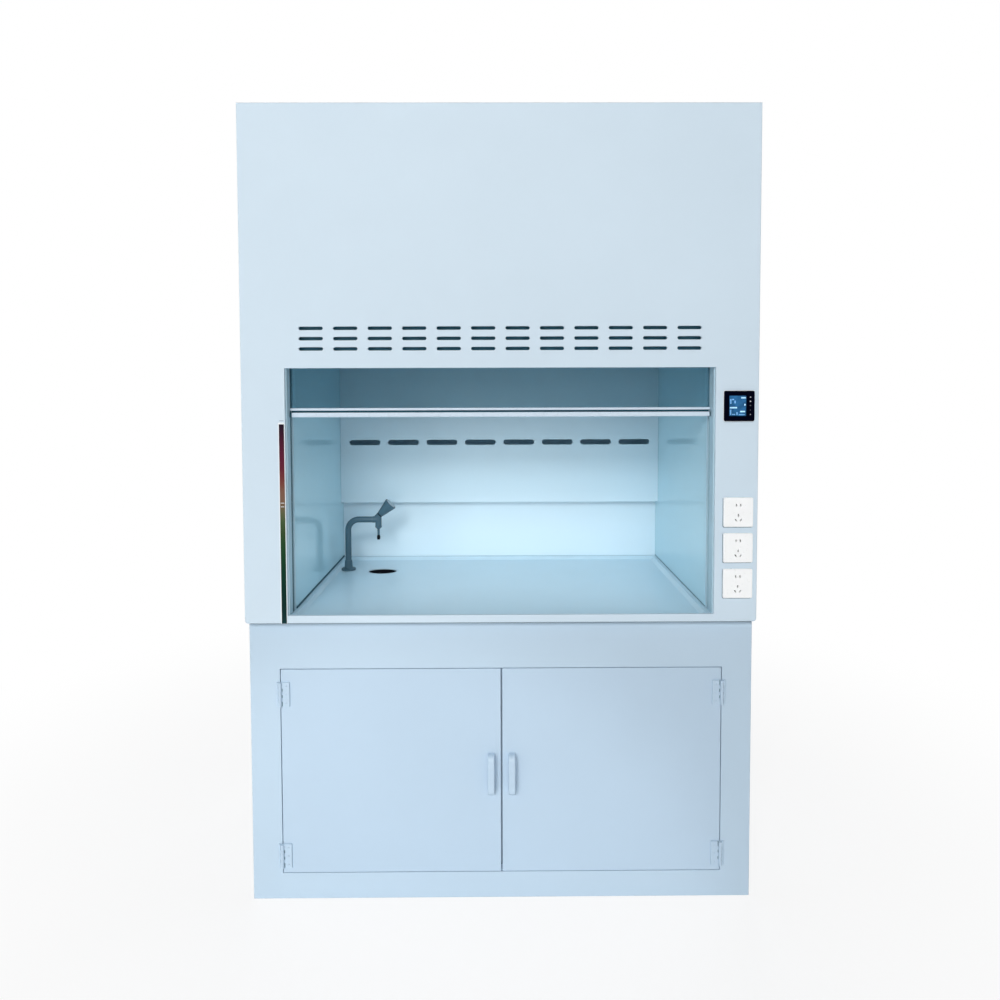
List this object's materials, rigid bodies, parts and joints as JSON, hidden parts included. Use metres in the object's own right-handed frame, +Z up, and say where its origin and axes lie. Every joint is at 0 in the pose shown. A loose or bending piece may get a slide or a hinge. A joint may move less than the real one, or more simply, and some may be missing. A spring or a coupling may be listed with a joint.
{
  "type": "fume hood",
  "caption": "Walk-up bench fume hood in pale polypropylene: balanced vertical glass sash, baffled chamber with tap and cup sink, control post, and a two-door base cabinet.",
  "frame": {"origin": "on the floor, midway across the width and the 0.85 m depth of the cabinet", "axes": "+Z up, the sash and doors face -Y, +X to the right of someone facing the hood"},
  "size_m": [1.5, 0.8583, 2.45],
  "materials": {
    "pp_sheet": "satin welded polypropylene sheet",
    "pp_lining": "semi-gloss polypropylene lining",
    "pp_moulding": "satin moulded polypropylene",
    "tap_plastic": "satin grey coated",
    "tap_black": "matte",
    "socket_white": "semi-gloss",
    "display_black": "gloss",
    "height_strip": "satin, colour runs from red at the top through orange to green",
    "stainless": "brushed",
    "counterweight_iron": "painted, rough",
    "aluminium_trim": "anodised satin",
    "sash_glass": "clear",
    "galvanised_steel": "white painted sheet steel",
    "opal_diffuser": "opal",
    "nylon_pulley": "satin",
    "grey_hose": "satin",
    "cable_black": "satin"
  },
  "bodies": {
    "cabinet": {"front_fascia": "pp_sheet", "left_outer_side": "pp_sheet", "right_outer_side": "pp_sheet", "hood_back_panel": "pp_sheet", "hood_roof": "pp_sheet", "exhaust_collar": "pp_sheet", "left_inner_liner": "pp_lining", "right_inner_liner": "pp_lining", "chamber_ceiling": "pp_lining", "upper_baffle": "pp_lining", "lower_baffle": "pp_lining", "worktop": "pp_lining", "cup_sink": "pp_moulding", "sink_trap": "grey_hose", "left_sash_track": "pp_sheet", "right_sash_track": "pp_sheet", "lamp_housing": "galvanised_steel", "lamp_diffuser": "opal_diffuser", "display_controller": "display_black", "socket_upper": "socket_white", "socket_middle": "socket_white", "socket_lower": "socket_white", "sash_height_strip": "height_strip", "wiring_loom": "cable_black", "left_pulley_beam": "stainless", "right_pulley_beam": "stainless", "left_cable": "stainless", "right_cable": "stainless", "base_left_side": "pp_sheet", "base_right_side": "pp_sheet", "base_back": "pp_sheet", "base_floor": "pp_sheet", "base_front_frame": "pp_sheet", "left_lower_hinge_frame_leaf": "pp_moulding", "left_upper_hinge_frame_leaf": "pp_moulding", "right_lower_hinge_frame_leaf": "pp_moulding", "right_upper_hinge_frame_leaf": "pp_moulding", "faucet_base": "tap_plastic", "supply_hose": "grey_hose"},
    "sash": {"sash_glass": "sash_glass", "sash_handle_rail": "pp_moulding", "sash_top_rail": "aluminium_trim"},
    "left_counterweight": {"left_counterweight": "counterweight_iron"},
    "right_counterweight": {"right_counterweight": "counterweight_iron"},
    "left_front_pulley": {"left_front_pulley": "nylon_pulley"},
    "left_rear_pulley": {"left_rear_pulley": "nylon_pulley"},
    "right_front_pulley": {"right_front_pulley": "nylon_pulley"},
    "right_rear_pulley": {"right_rear_pulley": "nylon_pulley"},
    "left_door": {"left_door": "pp_sheet", "left_door_handle": "pp_moulding", "left_lower_hinge_door_leaf": "pp_moulding", "left_upper_hinge_door_leaf": "pp_moulding"},
    "right_door": {"right_door": "pp_sheet", "right_door_handle": "pp_moulding", "right_lower_hinge_door_leaf": "pp_moulding", "right_upper_hinge_door_leaf": "pp_moulding"},
    "faucet_spout": {"faucet_gooseneck": "tap_plastic", "faucet_valve_body": "tap_plastic", "faucet_nozzle": "tap_black"},
    "faucet_knob": {"faucet_knob": "tap_plastic"}
  },
  "joints": [
    {"name": "sash_slide", "type": "slide", "parent": "cabinet", "child": "sash", "axis": [0, 0, 1], "range_m": [-0.577, 0.07], "deforming": ["left_cable", "right_cable"]},
    {"name": "left_counterweight_slide", "type": "slide", "parent": "cabinet", "child": "left_counterweight", "axis": [0, 0, 1], "range_m": [-0.0701, 0.5771]},
    {"name": "right_counterweight_slide", "type": "slide", "parent": "cabinet", "child": "right_counterweight", "axis": [0, 0, 1], "range_m": [-0.0701, 0.5771]},
    {"name": "left_front_pulley_spin", "type": "hinge", "parent": "cabinet", "child": "left_front_pulley", "pos_m": [-0.63997, -0.3443, 2.3], "axis": [0.9883, 0.1525, 0], "range_deg": [-160, 1275]},
    {"name": "left_rear_pulley_spin", "type": "hinge", "parent": "cabinet", "child": "left_rear_pulley", "pos_m": [-0.68603, -0.0457, 2.3], "axis": [0.9883, 0.1525, 0], "range_deg": [-160, 1275]},
    {"name": "right_front_pulley_spin", "type": "hinge", "parent": "cabinet", "child": "right_front_pulley", "pos_m": [0.63997, -0.3443, 2.3], "axis": [0.9883, -0.1525, 0], "range_deg": [-160, 1275]},
    {"name": "right_rear_pulley_spin", "type": "hinge", "parent": "cabinet", "child": "right_rear_pulley", "pos_m": [0.68603, -0.0457, 2.3], "axis": [0.9883, -0.1525, 0], "range_deg": [-160, 1275]},
    {"name": "left_door_hinge", "type": "hinge", "parent": "cabinet", "child": "left_door", "pos_m": [-0.658, -0.4005, 0.3815], "axis": [0, 0, -1], "range_deg": [0, 170]},
    {"name": "right_door_hinge", "type": "hinge", "parent": "cabinet", "child": "right_door", "pos_m": [0.658, -0.4005, 0.3815], "axis": [0, 0, 1], "range_deg": [0, 170]},
    {"name": "faucet_swivel", "type": "hinge", "parent": "cabinet", "child": "faucet_spout", "pos_m": [-0.5665, 0.142, 0.9], "axis": [0, 0, 1], "range_deg": [-90, 35]},
    {"name": "faucet_knob_turn", "type": "hinge", "parent": "faucet_spout", "child": "faucet_knob", "pos_m": [-0.4467, 0.142, 1.0703], "axis": [0.7071, 0, 0.7071], "range_deg": [0, 90]}
  ],
  "couplings": [
    {"joint": "left_counterweight_slide", "follows": "sash_slide", "ratio": -1},
    {"joint": "right_counterweight_slide", "follows": "sash_slide", "ratio": -1},
    {"joint": "left_front_pulley_spin", "follows": "sash_slide", "rad_per_m": -38.462},
    {"joint": "left_rear_pulley_spin", "follows": "sash_slide", "rad_per_m": -38.462},
    {"joint": "right_front_pulley_spin", "follows": "sash_slide", "rad_per_m": -38.462},
    {"joint": "right_rear_pulley_spin", "follows": "sash_slide", "rad_per_m": -38.462}
  ]
}
